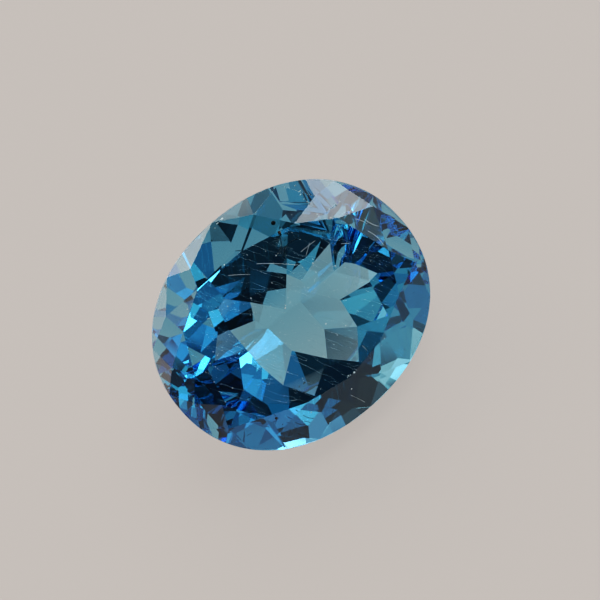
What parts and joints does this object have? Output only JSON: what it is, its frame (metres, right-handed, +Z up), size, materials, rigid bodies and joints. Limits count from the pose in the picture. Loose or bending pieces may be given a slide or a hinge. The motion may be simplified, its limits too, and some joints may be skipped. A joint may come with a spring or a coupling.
{
  "type": "faceted oval blue topaz",
  "caption": "Loose oval-cut blue topaz, a clear faceted gemstone with a large table and a keeled pavilion, lying table side up on one of its facets.",
  "frame": {"origin": "under the middle of the stone's box, on the surface that it rests on", "axes": "+X along the stone's length, +Z up, and the table turned up and towards -Y"},
  "size_m": [0.012, 0.0086, 0.0065],
  "materials": {
    "topaz_crystal": "polished clear blue crystal, refractive index 1.62"
  },
  "bodies": {
    "root": {"topaz": "topaz_crystal"}
  },
  "joints": []
}
